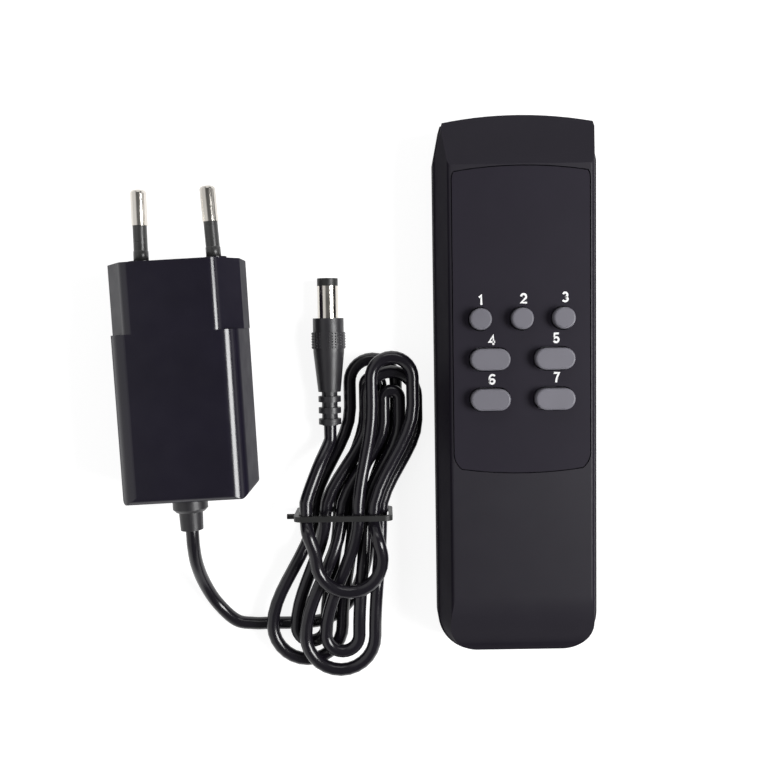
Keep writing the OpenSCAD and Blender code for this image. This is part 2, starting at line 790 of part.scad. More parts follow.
// Axis of a mains pin, from the plug face outwards along the children's Z
module at_pin(side) {
    translate([side * pin_pitch / 2, plug_len, axis_z]) rotate([0, 0, side * pin_lean])
        rotate([-90, 0, 0]) children();
}

module run_y(y0, y1) {
    translate([0, (y0 + y1) / 2, 0]) along_y(y1 - y0) children();
}

module adapter_plug_case() {
    color("#1e1d20") in_adapter() difference() {
        union() {
            run_y(0, plug_len) plug_section(0);
            for (side = [-1, 1]) at_pin(side) translate([0, 0, -spare])
                cylinder(d = pin_boss_d, h = pin_boss_h + spare);
            seam_block(spigot_w, spigot_h, -spigot_len, plate_wall);
        }
        run_y(plate_wall, plug_len - adapter_wall) plug_section(adapter_wall);
        seam_block(spigot_w - 2 * spigot_wall, spigot_h - 2 * spigot_wall,
            -spigot_len - spare, plate_wall + spare);
        for (side = [-1, 1]) at_pin(side) translate([0, 0, -adapter_wall - spare])
            cylinder(d = sleeve_d + 2 * fit, h = adapter_wall + pin_boss_h + 2 * spare);
    }
}

// Half profile of a straight pin with a rounded end
module pin_profile(d, len, r) {
    square([d / 2 - r, len]);
    square([d / 2, len - r]);
    translate([d / 2 - r, len - r]) circle(r, $fn = 32);
}

module mains_pin(side) {
    color("#c9c6bd") in_adapter() at_pin(side) {
        translate([0, 0, -pin_root_len]) cylinder(d = pin_core_d, h = pin_root_len + sleeve_len + spare);
        translate([0, 0, sleeve_len]) rotate_extrude() pin_profile(pin_d, pin_len - sleeve_len, pin_tip_r);
    }
}
module mains_pin_left() { mains_pin(-1); }
module mains_pin_right() { mains_pin(1); }

module pin_sleeve(side) {
    color("#2a2a2c") in_adapter() at_pin(side) translate([0, 0, -adapter_wall]) difference() {
        cylinder(d = sleeve_d, h = sleeve_len + adapter_wall);
        translate([0, 0, -spare])
            cylinder(d = pin_core_d + 2 * fit, h = sleeve_len + adapter_wall + 2 * spare);
    }
}
module pin_sleeve_left() { pin_sleeve(-1); }
module pin_sleeve_right() { pin_sleeve(1); }

// Strip from the root of a pin back over the board and down to it
module pin_lead(side) {
    root_x = side * (pin_pitch / 2 + pin_root_len * sin(pin_lean));
    root_y = plug_len - pin_root_len * cos(pin_lean) - 2 * fit;
    foot_y = mains_board_y + mains_board_len / 2 - 2 * lead_w;
    color("#b0623a") in_adapter() {
        translate([root_x - lead_w / 2, foot_y, axis_z - lead_t / 2])
            cube([lead_w, root_y - foot_y, lead_t]);
        translate([root_x - lead_w / 2, foot_y, mains_board_top])
            cube([lead_w, lead_t, axis_z - mains_board_top]);
    }
}
module pin_lead_left() { pin_lead(-1); }
module pin_lead_right() { pin_lead(1); }

// Collar and neck outside the end wall, shaft through it and flange behind it
module strain_relief() {
    collar_r = relief_w / 2;
    bevel = 0.8;
    color("#1a1a1c") in_adapter() translate([relief_x, -body_len, axis_z]) rotate([90, 0, 0]) {
        translate([0, 0, -adapter_wall - relief_flange_t])
            cylinder(d = relief_flange_d, h = relief_flange_t);
        translate([0, 0, -adapter_wall - fit]) cylinder(d = relief_shaft_d, h = adapter_wall + 2 * fit);
        cylinder(r = collar_r, h = relief_len - bevel);
        translate([0, 0, relief_len - bevel]) cylinder(r1 = collar_r, r2 = collar_r - bevel, h = bevel);
        translate([0, 0, relief_len - bevel])
            cylinder(d1 = neck_d, d2 = neck_d - bevel / 2, h = neck_len + bevel);
    }
}

module adapter_board() {
    color("#2f5a3a") in_adapter()
        translate([-mains_board_w / 2, mains_board_y - mains_board_len / 2, mains_board_z])
        cube([mains_board_w, mains_board_len, mains_board_t]);
}

module transformer_core() {
    color("#3c3c40") in_adapter() translate([0, mains_board_y, mains_board_top]) difference() {
        translate([-core_w / 2, -core_len / 2, 0]) cube([core_w, core_len, core_h]);
        translate([-core_w / 2 + core_limb, -core_len, core_limb])
            cube([core_w - 2 * core_limb, 2 * core_len, core_h - 2 * core_limb]);
    }
}

module transformer_winding() {
    w = core_w - 2 * core_limb - 2 * fit;
    h = core_h - 2 * core_limb - 2 * fit;
    color("#c9a43a") in_adapter() translate([0, mains_board_y, mains_board_top + core_limb + fit])
        along_y(winding_len) rounded_rect(-w / 2, w / 2, 0, h, 1);
}

module input_capacitor() {
    color("#38405a") in_adapter()
        translate([0, mains_board_y + mains_board_len / 2 - board_edge - input_d / 2, mains_board_top])
        cylinder(d = input_d, h = input_h);
}

module output_capacitor() {
    color("#38405a") in_adapter()
        translate([core_w / 4, mains_board_y - mains_board_len / 2 + board_edge + output_d / 2, mains_board_top])
        cylinder(d = output_d, h = output_h);
}

// Plug of the cord: its own frame has the boot's front at the origin and the barrel along Z
module at_dc_plug() {
    translate([dc_x, dc_y, dc_z]) rotate([-90, 0, 0]) children();
}

module dc_boot() {
    front_d = boot_d - 0.6;
    band_len = 4.4;
    front_len = (boot_len - band_len) * 0.8;
    ribs = 3;
    rib_step = boot_rib_len / ribs;
    core_d = cord_d + 0.8;
    color("#1b1b1d") at_dc_plug() mirror([0, 0, 1]) {
        cylinder(d = front_d, h = boot_len);
        translate([0, 0, front_len]) cylinder(d = boot_d, h = band_len);
        translate([0, 0, boot_len - fit]) cylinder(d1 = front_d, d2 = boot_rib_d, h = boot_taper_len + fit);
        translate([0, 0, boot_len + boot_taper_len - fit]) cylinder(d = core_d, h = boot_rib_len + fit);
        for (i = [0:ribs - 1]) translate([0, 0, boot_len + boot_taper_len + (i + 0.4) * rib_step])
            cylinder(d = boot_rib_d, h = rib_step * 0.5);
    }
}

module dc_barrel() {
    color("#cfccc4") at_dc_plug() difference() {
        cylinder(d = barrel_d, h = barrel_len - tip_ring_len);
        translate([0, 0, -spare]) cylinder(d = barrel_d - 2 * barrel_wall, h = barrel_len + 2 * spare);
    }
}

// Black ring at the tip, with the sleeve behind it that lines the barrel
module dc_insulator() {
    color("#161618") at_dc_plug() difference() {
        union() {
            cylinder(d = barrel_d - 2 * barrel_wall - 2 * fit, h = barrel_len);
            translate([0, 0, barrel_len - tip_ring_len]) cylinder(d = barrel_d, h = tip_ring_len);
        }
        translate([0, 0, -spare])
            cylinder(d = plug_bore_d + 2 * (contact_wall + fit), h = barrel_len + 2 * spare);
    }
}

module dc_contact() {
    color("#c9b870") at_dc_plug() difference() {
        cylinder(d = plug_bore_d + 2 * contact_wall, h = barrel_len - tip_ring_len / 2);
        translate([0, 0, spare]) cylinder(d = plug_bore_d, h = barrel_len + spare);
    }
}

// Tube along a path of points, square to the direction start at one end and to finish at the other
function unit(v) = v / norm(v);
function path_dir(path, i, start, finish) =
    i == 0 ? start : i == len(path) - 1 ? finish : unit(path[i + 1] - path[i - 1]);
function ring(p, dir, r, sides) =
    let (across = unit(cross(dir, [0, 0, 1])), up = cross(across, dir))
    [for (k = [0:sides - 1]) let (a = 360 * (k + 0.5) / sides) p + r * (cos(a) * across + sin(a) * up)];
module tube(path, r, sides, start, finish) {
    last = len(path) - 1;
    first_end = [[for (k = [sides - 1:-1:0]) k]];
    last_end = [[for (k = [0:sides - 1]) last * sides + k]];
    flanks = [for (i = [0:last - 1], k = [0:sides - 1])
        let (a = i * sides + k, b = i * sides + (k + 1) % sides)
        each [[a, b, b + sides], [a, b + sides, a + sides]]];
    polyhedron([for (i = [0:last]) each ring(path[i], path_dir(path, i, start, finish), r, sides)],
        concat(first_end, flanks, last_end));
}

// Smooth path through route points, with a straight first and last stretch
function on_spline(a, b, c, d, t) =
    0.5 * (2 * b + t * (c - a) + t * t * (2 * a - 5 * b + 4 * c - d) + t * t * t * (3 * b - a - 3 * c + d));
function spline(route) =
    let (last = len(route) - 1)
    concat([route[0]],
        [for (i = [1:last - 2], j = [0:spline_steps - 1])
            on_spline(route[i - 1], route[i], route[i + 1], route[i + 2], j / spline_steps)],
        [route[last - 1], route[last]]);

// Share of a rise that has been made at s, between a and b
function eased(s, a, b) =
    let (t = min(max((s - a) / (b - a), 0), 1))
    t * t * (3 - 2 * t);
function lift_at(y) = waist_lift * (1 - eased(abs(y - waist_y), 2, lift_len));
function layer_z(layer, y) = cord_r + layer * layer_pitch + lift_at(y);

// Point of a leg at the share u from its place in the waist to the loop's end
function leg_point(from, end, side, u, climb) =
    let (dir = end[1] > waist_y ? 1 : -1,
        y = waist_y + (end[1] - dir * end[2] - waist_y) * u,
        x0 = waist_x + from[0],
        x = x0 + (end[0] + side * end[2] - x0) * eased(u, 0, dir > 0 ? 0.8 : 1))
    [hank_x + x, y, layer_z(from[1] + (end[3] - from[1]) * eased(u, climb[0], climb[1]), y)];
function end_point(end, side, a) =
    let (dir = end[1] > waist_y ? 1 : -1, y = end[1] - dir * end[2] * (1 - sin(a)))
    [hank_x + end[0] + side * end[2] * cos(a), y, layer_z(end[3], y)];
function half_loop(from, to, end) =
    let (side = from[0] > to[0] ? 1 : -1)
    concat([for (i = [0:leg_steps - 1]) leg_point(from, end, side, i / leg_steps, [0.1, 0.6])],
        [for (i = [0:end_steps - 1]) end_point(end, side, 180 * i / end_steps)],
        [for (i = [0:leg_steps - 1]) leg_point(to, end, -side, 1 - i / leg_steps, [0, 0.4])]);
function waist_point(i) = [hank_x + waist_x + WAIST[i][0], waist_y, layer_z(WAIST[i][1], waist_y)];
loops = len(UPPER);
hank_path = concat(
    [for (k = [0:loops - 1]) each concat(half_loop(WAIST[2 * k], WAIST[2 * k + 1], UPPER[k]),
        half_loop(WAIST[2 * k + 1], WAIST[2 * k + 2], LOWER[k]))],
    [waist_point(2 * loops)]);

// Least gap between strands of the hank, over its rings and the points midway between them
function run_lengths(path, i = 0, run = 0) =
    i == len(path) - 1 ? [run] : concat([run], run_lengths(path, i + 1, run + norm(path[i + 1] - path[i])));
hank_fine = [for (i = [0:len(hank_path) - 2]) each [hank_path[i], (hank_path[i] + hank_path[i + 1]) / 2]];
hank_runs = run_lengths(hank_fine);
hank_gap = min([for (i = [0:len(hank_fine) - 1], j = [i + 1:1:len(hank_fine) - 1])
    if (hank_runs[j] - hank_runs[i] > 4 * cord_d) norm(hank_fine[j] - hank_fine[i])]) - cord_d;
echo(hank_gap = hank_gap, hank_length = hank_runs[len(hank_runs) - 1]);

relief_run = body_len + relief_len + neck_len;
relief_end = [adapter_x + relief_x * cos(adapter_turn) + relief_run * sin(adapter_turn),
    adapter_y + relief_x * sin(adapter_turn) - relief_run * cos(adapter_turn), axis_z];
relief_dir = [sin(adapter_turn), -cos(adapter_turn), 0];
landing = [hank_x + FLOOR[0][0], FLOOR[0][1], cord_r];
lead_route = concat([relief_end, relief_end + end_run * relief_dir],
    [for (p = FALL) relief_end + p[0] * (landing - relief_end) + [p[1], 0, p[2]]],
    [for (p = FLOOR) [hank_x + p[0], p[1], layer_z(0, p[1])]],
    [waist_point(0) - [0, end_run, lift_at(waist_y) - lift_at(waist_y - end_run)], waist_point(0)]);
boot_end = [dc_x, boot_end_y, dc_z];
hank_end = waist_point(2 * loops);
tail_route = [hank_end, hank_end + [0, end_run, 0], (hank_end + boot_end) / 2 + [0, 0.8, 0.5],
    boot_end - [0, end_run, 0], boot_end];
function path_length(path) = run_lengths(path)[len(path) - 1];
echo(lead_length = path_length(spline(lead_route)), tail_length = path_length(spline(tail_route)));

module cord_lead() { color("#1b1b1d") tube(spline(lead_route), cord_r, 8, relief_dir, [0, 1, 0]); }
module cord_hank() { color("#1b1b1d") tube(hank_path, cord_r, 6, [0, 1, 0], [0, 1, 0]); }
module cord_tail() { color("#1b1b1d") tube(spline(tail_route), cord_r, 8, [0, 1, 0], [0, 1, 0]); }

// Band around the waist, with its twisted end at the left
module cord_tie() {
    places = [for (p = WAIST) p[0]];
    x0 = hank_x + waist_x + min(places) - cord_r - tie_gap;
    x1 = hank_x + waist_x + max(places) + cord_r + tie_gap;
    z1 = layer_z(2, waist_y) + cord_r + tie_gap;
    end_z = z1 - cord_d;
    color("#151517") translate([0, waist_y, 0]) {
        difference() {
            along_y(tie_w) rounded_rect(x0 - tie_t, x1 + tie_t, 0, z1 + tie_t, tie_t + 1);
            along_y(tie_w + 2 * spare) rounded_rect(x0, x1, tie_t, z1, 1);
        }
        translate([x0 - tie_t - 2, 0, end_z]) rotate([0, 90, 0]) cylinder(d = tie_w, h = 2 + tie_t / 2);
    }
}

remote_upper_case();
remote_lower_case();
battery_door();
face_panel();
key_mat();
key_1();
key_2();
key_3();
key_4();
key_5();
key_6();
key_7();
remote_board();
contact_pads();
infrared_lamp();
control_chip();
resonator();
storage_capacitor();
battery_cell_1();
battery_cell_2();
battery_bridge();
battery_terminal_plus();
battery_terminal_minus();
case_screw_left();
case_screw_right();
adapter_body_case();
adapter_plug_case();
mains_pin_left();
mains_pin_right();
pin_sleeve_left();
pin_sleeve_right();
pin_lead_left();
pin_lead_right();
strain_relief();
adapter_board();
transformer_core();
transformer_winding();
input_capacitor();
output_capacitor();
cord_lead();
cord_hank();
cord_tail();
cord_tie();
dc_boot();
dc_barrel();
dc_insulator();
dc_contact();
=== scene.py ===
"""Looks of the adapter and remote set: camera, cord, materials, numerals, small trim, floor and light."""
import json
import math

import bmesh
import bpy
from mathutils import Matrix, Vector


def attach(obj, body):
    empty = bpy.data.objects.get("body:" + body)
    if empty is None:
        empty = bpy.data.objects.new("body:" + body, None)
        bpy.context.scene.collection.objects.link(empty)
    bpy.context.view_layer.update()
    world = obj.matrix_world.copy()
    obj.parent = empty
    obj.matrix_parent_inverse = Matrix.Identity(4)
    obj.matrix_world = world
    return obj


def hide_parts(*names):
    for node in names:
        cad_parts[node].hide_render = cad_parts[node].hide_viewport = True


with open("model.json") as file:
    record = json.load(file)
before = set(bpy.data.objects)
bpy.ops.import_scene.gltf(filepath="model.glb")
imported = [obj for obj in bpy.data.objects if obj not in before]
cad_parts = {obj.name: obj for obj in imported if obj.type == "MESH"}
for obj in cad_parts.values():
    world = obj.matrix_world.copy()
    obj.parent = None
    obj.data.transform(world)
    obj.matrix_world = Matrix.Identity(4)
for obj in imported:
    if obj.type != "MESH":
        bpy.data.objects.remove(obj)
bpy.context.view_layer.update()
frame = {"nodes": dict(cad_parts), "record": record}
nodes = frame["nodes"]
scene = bpy.context.scene
MM = 0.001

# Camera: fitted to the photograph with the standard sizes of the mains pins
IMAGE_PX = 768
FOCAL_PX = 900
SENSOR = 36
cam_data = bpy.data.cameras.new("camera")
cam = bpy.data.objects.new("camera", cam_data)
scene.collection.objects.link(cam)
cam_data.sensor_width = SENSOR
cam_data.lens = FOCAL_PX / IMAGE_PX * SENSOR
cam_data.clip_start = 0.01
cam_data.clip_end = 20
cam.location = (0.0068, 0.01635, 0.244)
cam.rotation_euler = (math.radians(-3.6), 0, math.radians(-0.9))
scene.camera = cam

# Cord: the same route as the solids, in millimetres, drawn finer
CORD_D = 3.4
CORD_R = CORD_D / 2
LAYER = CORD_D + 0.5
FLOOR_GAP = 0.02
END_RUN = 1.1 * CORD_D
# Waist of the hank: each pass as x and layer, all lifted a little under the tie
WAIST_X = -2.8
WAIST_Y = -33
LIFT = 1.4
LIFT_FLAT = 2
LIFT_LEN = 16
WAIST = [(4.8, 0), (-10, 0), (0.6, 0), (-3.4, 0), (-6.8, 1), (8, 1), (-2.4, 1), (3.8, 1),
         (2, 2), (6, 2), (-11.6, 2)]
# Loops beyond the waist: x of the middle, y of the far end, radius and layer
UPPER = [(3.5, 8, 6.2, 0), (3.5, 3, 2.1, 0), (8.4, 4.6, 6.6, 1), (8.4, -0.4, 2.1, 1), (8.6, 8.6, 5.4, 2)]
LOWER = [(-15, -72.8, 9.4, 1), (-14, -67.8, 4, 1), (-6, -74.4, 9.2, 2), (-5.4, -69.4, 4.4, 2),
         (-3.2, -52.4, 8.6, 3)]
UPPER_EASE = 0.8
CLIMB_OUT = (0.1, 0.6)
CLIMB_BACK = (0, 0.4)
# Lead: its way along the floor, and its fall as share of the way with offsets in x and z
FLOOR = [(-35, -63), (-30, -64), (-25, -64), (-19, -64), (-12, -63.5), (-6.6, -61), (-2.4, -56),
         (0.4, -49), (1.7, -42)]
FALL = [(0.36, -2.9, 0.9), (0.6, -3.9, -0.8), (0.82, -3.2, -1.3)]
# Adapter, turned about the middle of its seam, and the end of its strain relief
TURN = math.radians(2.4)
PLUG_W, PLUG_LEN = 33, 17.5
SET_HALF = 62
ADAPTER_X = PLUG_W / 2 * math.cos(TURN) + PLUG_LEN * math.sin(TURN) - SET_HALF
ADAPTER_Y, ADAPTER_MID = 16, 13
RELIEF_X, RELIEF_RUN = -1.2, 51.2
RELIEF = Vector((ADAPTER_X + RELIEF_X * math.cos(TURN) + RELIEF_RUN * math.sin(TURN),
                 ADAPTER_Y + RELIEF_X * math.sin(TURN) - RELIEF_RUN * math.cos(TURN), ADAPTER_MID))
RELIEF_DIR = Vector((math.sin(TURN), -math.cos(TURN), 0))
# Barrel plug's boot: its axis and its two ends
BOOT_X, BOOT_Z = -8, 4.4
BOOT_Y = 19
BOOT_END = Vector((BOOT_X, -9.5, BOOT_Z))
TAIL_BOW = Vector((0, 0.8, 0.5))


def eased(s, a, b):
    t = min(max((s - a) / (b - a), 0), 1)
    return t * t * (3 - 2 * t)


def lift_at(y):
    return LIFT * (1 - eased(abs(y - WAIST_Y), LIFT_FLAT, LIFT_LEN))


def layer_z(layer, y):
    return CORD_R + layer * LAYER + lift_at(y)


def leg_point(start, loop, side, u, climb):
    """Point at share u of the leg from a waist pass to one side of a loop."""
    x_mid, y_far, radius, layer = loop
    way = 1 if y_far > WAIST_Y else -1
    y = WAIST_Y + (y_far - way * radius - WAIST_Y) * u
    x0 = WAIST_X + start[0]
    x = x0 + (x_mid + side * radius - x0) * eased(u, 0, UPPER_EASE if way > 0 else 1)
    return Vector((x, y, layer_z(start[1] + (layer - start[1]) * eased(u, *climb), y)))


def turn_point(loop, side, a):
    """Point at angle a of a loop's half circle."""
    x_mid, y_far, radius, layer = loop
    way = 1 if y_far > WAIST_Y else -1
    y = y_far - way * radius * (1 - math.sin(a))
    return Vector((x_mid + side * radius * math.cos(a), y, layer_z(layer, y)))


def half_loop(start, stop, loop, legs=10, turns=14):
    """Points from one waist pass out around a loop and back to just before the next pass."""
    side = 1 if start[0] > stop[0] else -1
    return ([leg_point(start, loop, side, i / legs, CLIMB_OUT) for i in range(legs)]
            + [turn_point(loop, side, math.pi * i / turns) for i in range(turns)]
            + [leg_point(stop, loop, -side, 1 - i / legs, CLIMB_BACK) for i in range(legs)])


def waist_point(i):
    return Vector((WAIST_X + WAIST[i][0], WAIST_Y, layer_z(WAIST[i][1], WAIST_Y)))


def spline(route, steps=6):
    """Smooth curve through the route's inner points, with straight first and last pieces."""
    points = [route[0]]
    for i in range(1, len(route) - 2):
        a, b, c, d = route[i - 1:i + 3]
        for j in range(steps):
            t = j / steps
            points.append(0.5 * (2 * b + t * (c - a) + t * t * (2 * a - 5 * b + 4 * c - d)
                                 + t * t * t * (3 * b - a - 3 * c + d)))
    return points + [route[-2], route[-1]]


landing = Vector((FLOOR[0][0], FLOOR[0][1], CORD_R))
lead_route = [RELIEF, RELIEF + END_RUN * RELIEF_DIR]
lead_route += [RELIEF + p[0] * (landing - RELIEF) + Vector((p[1], 0, p[2])) for p in FALL]
lead_route += [Vector((p[0], p[1], layer_z(0, p[1]))) for p in FLOOR]
lead_route += [waist_point(0) - Vector((0, END_RUN, LIFT - lift_at(WAIST_Y - END_RUN))), waist_point(0)]
hank = []
for k in range(len(UPPER)):
    hank += half_loop(WAIST[2 * k], WAIST[2 * k + 1], UPPER[k])
    hank += half_loop(WAIST[2 * k + 1], WAIST[2 * k + 2], LOWER[k])
hank_end = waist_point(len(WAIST) - 1)
tail_route = [hank_end, hank_end + Vector((0, END_RUN, 0)), (hank_end + BOOT_END) / 2 + TAIL_BOW,
              BOOT_END - Vector((0, END_RUN, 0)), BOOT_END]
cord_points = spline(lead_route)[:-1] + hank + spline(tail_route)
for p in cord_points:
    p.z = max(p.z, CORD_R + FLOOR_GAP)

curve = bpy.data.curves.new("cord", "CURVE")
curve.dimensions = "3D"
curve.bevel_depth = 1
curve.bevel_resolution = 6
curve.use_fill_caps = True
line = curve.splines.new("POLY")
line.points.add(len(cord_points) - 1)
for curve_point, p in zip(line.points, cord_points):
    curve_point.co = (*(p * MM), 1)
    curve_point.radius = CORD_R * MM
line.use_smooth = True
cord = bpy.data.objects.new("cord", curve)
scene.collection.objects.link(cord)
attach(cord, "set")
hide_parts("cord_lead", "cord_hank", "cord_tail")


# Materials
def rgb(level, tint=(1, 1, 1)):
    """Linear colour of an sRGB grey level from 0 to 255, with a tint."""
    s = level / 255
    lin = s / 12.92 if s <= 0.04045 else ((s + 0.055) / 1.055) ** 2.4
    return (lin * tint[0], lin * tint[1], lin * tint[2], 1)


def scaled(colour, f):
    return (min(colour[0] * f, 1), min(colour[1] * f, 1), min(colour[2] * f, 1), 1)


def start_material(name):
    m = bpy.data.materials.new(name)
    m.use_nodes = True
    tree = m.node_tree
    return m, tree, tree.nodes["Principled BSDF"]


def add(tree, kind, **inputs):
    n = tree.nodes.new(kind)
    for key, value in inputs.items():
        n.inputs[key].default_value = value
    return n


def feed(tree, socket, value):
    """Links an output to the socket, or sets a constant on it."""
    if hasattr(value, "links"):
        tree.links.new(value, socket)
    else:
        socket.default_value = value


def combine(tree, operation, a, b):
    """Output of a math node."""
    n = tree.nodes.new("ShaderNodeMath")
    n.operation = operation
    feed(tree, n.inputs[0], a)
    feed(tree, n.inputs[1], b)
    return n.outputs["Value"]


def noise(tree, coords, grain_mm, detail=3.0):
    """Noise whose features are about grain_mm wide."""
    n = add(tree, "ShaderNodeTexNoise", Scale=1 / (grain_mm * MM), Detail=detail)
    tree.links.new(coords, n.inputs["Vector"])
    return n.outputs["Fac"]


def map_range(tree, value, low, high, start=0.3, stop=0.7):
    """Turns start to stop into low to high."""
    n = add(tree, "ShaderNodeMapRange", **{"From Min": start, "From Max": stop, "To Min": low, "To Max": high})
    tree.links.new(value, n.inputs["Value"])
    return n.outputs["Result"]


def mix_colour(tree, factor, a, b):
    n = tree.nodes.new("ShaderNodeMix")
    n.data_type = "RGBA"
    tree.links.new(factor, n.inputs["Factor"])
    feed(tree, n.inputs["A"], a)
    feed(tree, n.inputs["B"], b)
    return n.outputs["Result"]


def edge_mask(tree, radius_mm):
    """1 along worn edges, 0 on flats."""
    bevel = add(tree, "ShaderNodeBevel", Radius=radius_mm * MM)
    bevel.samples = 4
    geometry = tree.nodes.new("ShaderNodeNewGeometry")
    dot = tree.nodes.new("ShaderNodeVectorMath")
    dot.operation = "DOT_PRODUCT"
    tree.links.new(bevel.outputs["Normal"], dot.inputs[0])
    tree.links.new(geometry.outputs["Normal"], dot.inputs[1])
    return map_range(tree, dot.outputs["Value"], 1, 0, 0.75, 0.99)


def steep_mask(tree, wall, top):
    """1 on steep walls, 0 on tops, by the upward part of the normal."""
    split = tree.nodes.new("ShaderNodeSeparateXYZ")
    tree.links.new(tree.nodes.new("ShaderNodeTexCoord").outputs["Normal"], split.inputs["Vector"])
    return map_range(tree, split.outputs["Z"], 1, 0, wall, top)


# Widths of the slow changes of tone, gloss and wear, and gain of the light specks
TONE_GRAIN, GLOSS_GRAIN, WEAR_GRAIN = 14, 5, 2.2
SPECK_GAIN = 1.35
COAT_ROUGH = 0.08


def surface(name, colour, rough, grain=0.35, bump=0.25, depth=0.03, mottle=0.14, rough_swing=0.06, wear=0.0,
            wear_gain=1.8, specular=0.5, metallic=0.0, coat=0.0, brushed=None, walls=None):
    """Moulded or plated surface: fine grain, slow change of tone and gloss, lighter worn edges.

    walls gives the roughness and specular level of walls that are duller than the tops, and the tilts between."""
    m, tree, bsdf = start_material(name)
    coords = tree.nodes.new("ShaderNodeTexCoord").outputs["Object"]
    if brushed:
        mapping = add(tree, "ShaderNodeMapping", Scale=brushed)
        tree.links.new(coords, mapping.inputs["Vector"])
        fine = noise(tree, mapping.outputs["Vector"], grain, 6)
    else:
        fine = noise(tree, coords, grain, 4)
    slow = map_range(tree, noise(tree, coords, TONE_GRAIN, 2), 0, 1)
    tone = mix_colour(tree, slow, scaled(colour, 1 - mottle), scaled(colour, 1 + mottle))
    speck = map_range(tree, fine, 0, 0.35, 0.62, 0.8)
    tone = mix_colour(tree, speck, tone, scaled(colour, SPECK_GAIN))
    if wear:
        patches = map_range(tree, noise(tree, coords, WEAR_GRAIN), 0.1, 0.75, 0.35, 0.7)
        worn = combine(tree, "MULTIPLY", edge_mask(tree, wear), patches)
        tone = mix_colour(tree, worn, tone, scaled(colour, wear_gain))
    gloss = map_range(tree, noise(tree, coords, GLOSS_GRAIN), rough - rough_swing, rough + rough_swing)
    if walls:
        wall_rough, wall_specular, wall_tilt, top_tilt = walls
        steep = steep_mask(tree, wall_tilt, top_tilt)
        gloss = combine(tree, "ADD", gloss, map_range(tree, steep, 0, wall_rough - rough, 0, 1))
        specular = map_range(tree, steep, specular, wall_specular, 0, 1)
    relief = add(tree, "ShaderNodeBump", Strength=bump, Distance=depth * MM)
    tree.links.new(fine, relief.inputs["Height"])
    tree.links.new(relief.outputs["Normal"], bsdf.inputs["Normal"])
    tree.links.new(tone, bsdf.inputs["Base Color"])
    tree.links.new(gloss, bsdf.inputs["Roughness"])
    feed(tree, bsdf.inputs["Specular IOR Level"], specular)
    bsdf.inputs["Metallic"].default_value = metallic
    if coat:
        bsdf.inputs["Coat Weight"].default_value = coat
        bsdf.inputs["Coat Roughness"].default_value = COAT_ROUGH
    return m


VIOLET = (1.0, 0.86, 1.3)
LOOKS = {
    "remote_case": dict(colour=rgb(30, VIOLET), rough=0.5, grain=0.22, bump=0.3, depth=0.015, mottle=0.05,
                        rough_swing=0.02, wear=0.4, wear_gain=1.4, specular=0.28, walls=(0.6, 0.02, 0.8, 0.985)),
    "remote_panel": dict(colour=rgb(35, VIOLET), rough=0.5, grain=0.16, bump=0.25, depth=0.012, mottle=0.04,
                         rough_swing=0.02, specular=0.13),
    "key_cap": dict(colour=rgb(106, (1, 0.97, 1.13)), rough=0.48, grain=0.18, bump=0.3, depth=0.015, mottle=0.06,
                    wear=0.35, wear_gain=1.25, specular=0.35),
    "dome_mat": dict(colour=rgb(170), rough=0.7, grain=0.3, mottle=0.08),
    "circuit_board": dict(colour=(0.03, 0.16, 0.06, 1), rough=0.38, grain=0.6, mottle=0.2, coat=0.3),
    "carbon": dict(colour=rgb(35), rough=0.8, grain=0.2),
    "lamp": dict(colour=(0.03, 0.012, 0.035, 1), rough=0.08, grain=2, bump=0.05, coat=0.6),
    "chip": dict(colour=rgb(34), rough=0.6, grain=0.2),
    "can_metal": dict(colour=rgb(190, (1, 0.99, 0.96)), rough=0.3, metallic=1, brushed=(1, 12, 12)),
    "capacitor": dict(colour=(0.02, 0.035, 0.11, 1), rough=0.25, grain=0.5, bump=0.1, coat=0.4),
    "cell": dict(colour=(0.42, 0.24, 0.05, 1), rough=0.28, grain=0.8, bump=0.08, metallic=0.6),
    "spring_metal": dict(colour=rgb(200, (1, 0.98, 0.95)), rough=0.28, metallic=1, grain=0.3),
    "screw": dict(colour=rgb(165), rough=0.35, metallic=1, grain=0.25, wear=0.2, wear_gain=1.3),
    "adapter_case": dict(colour=rgb(26, (1.0, 0.84, 1.6)), rough=0.18, grain=1.2, bump=0.06, depth=0.02, mottle=0.1,
                         rough_swing=0.03, wear=0.3, wear_gain=1.3, specular=0.5, walls=(0.45, 0.03, 0.5, 0.7)),
    "pin_metal": dict(colour=rgb(218, (1.0, 0.95, 0.88)), rough=0.19, grain=0.25, bump=0.04, depth=0.01, metallic=1,
                      brushed=(10, 1, 10), wear=0.3, wear_gain=1.1),
    "pin_sleeve": dict(colour=rgb(52), rough=0.3, grain=0.3, bump=0.15, depth=0.015, wear=0.25),
    "copper": dict(colour=(0.6, 0.26, 0.12, 1), rough=0.3, metallic=1, grain=0.3),
    "ferrite": dict(colour=rgb(70), rough=0.62, grain=0.4, bump=0.4),
    "winding": dict(colour=(0.62, 0.36, 0.05, 1), rough=0.35, grain=0.7, bump=0.2, brushed=(1, 10, 1)),
    "cord_jacket": dict(colour=rgb(22, VIOLET), rough=0.2, grain=0.5, bump=0.12, depth=0.02, mottle=0.12,
                        rough_swing=0.05),
    "tie": dict(colour=rgb(30), rough=0.45, grain=0.3, bump=0.25, wear=0.2),
    "boot": dict(colour=rgb(40, (1.0, 0.95, 1.1)), rough=0.4, grain=0.25, bump=0.25, depth=0.02, wear=0.3),
    "barrel_metal": dict(colour=rgb(218, (1.0, 0.95, 0.87)), rough=0.17, grain=0.3, bump=0.04, depth=0.01, metallic=1,
                         brushed=(1, 14, 1)),
    "contact_metal": dict(colour=(0.72, 0.56, 0.26, 1), rough=0.25, metallic=1, grain=0.3),
    "print": dict(colour=rgb(238), rough=0.55, grain=0.15, bump=0.1, depth=0.006, mottle=0.03),
}
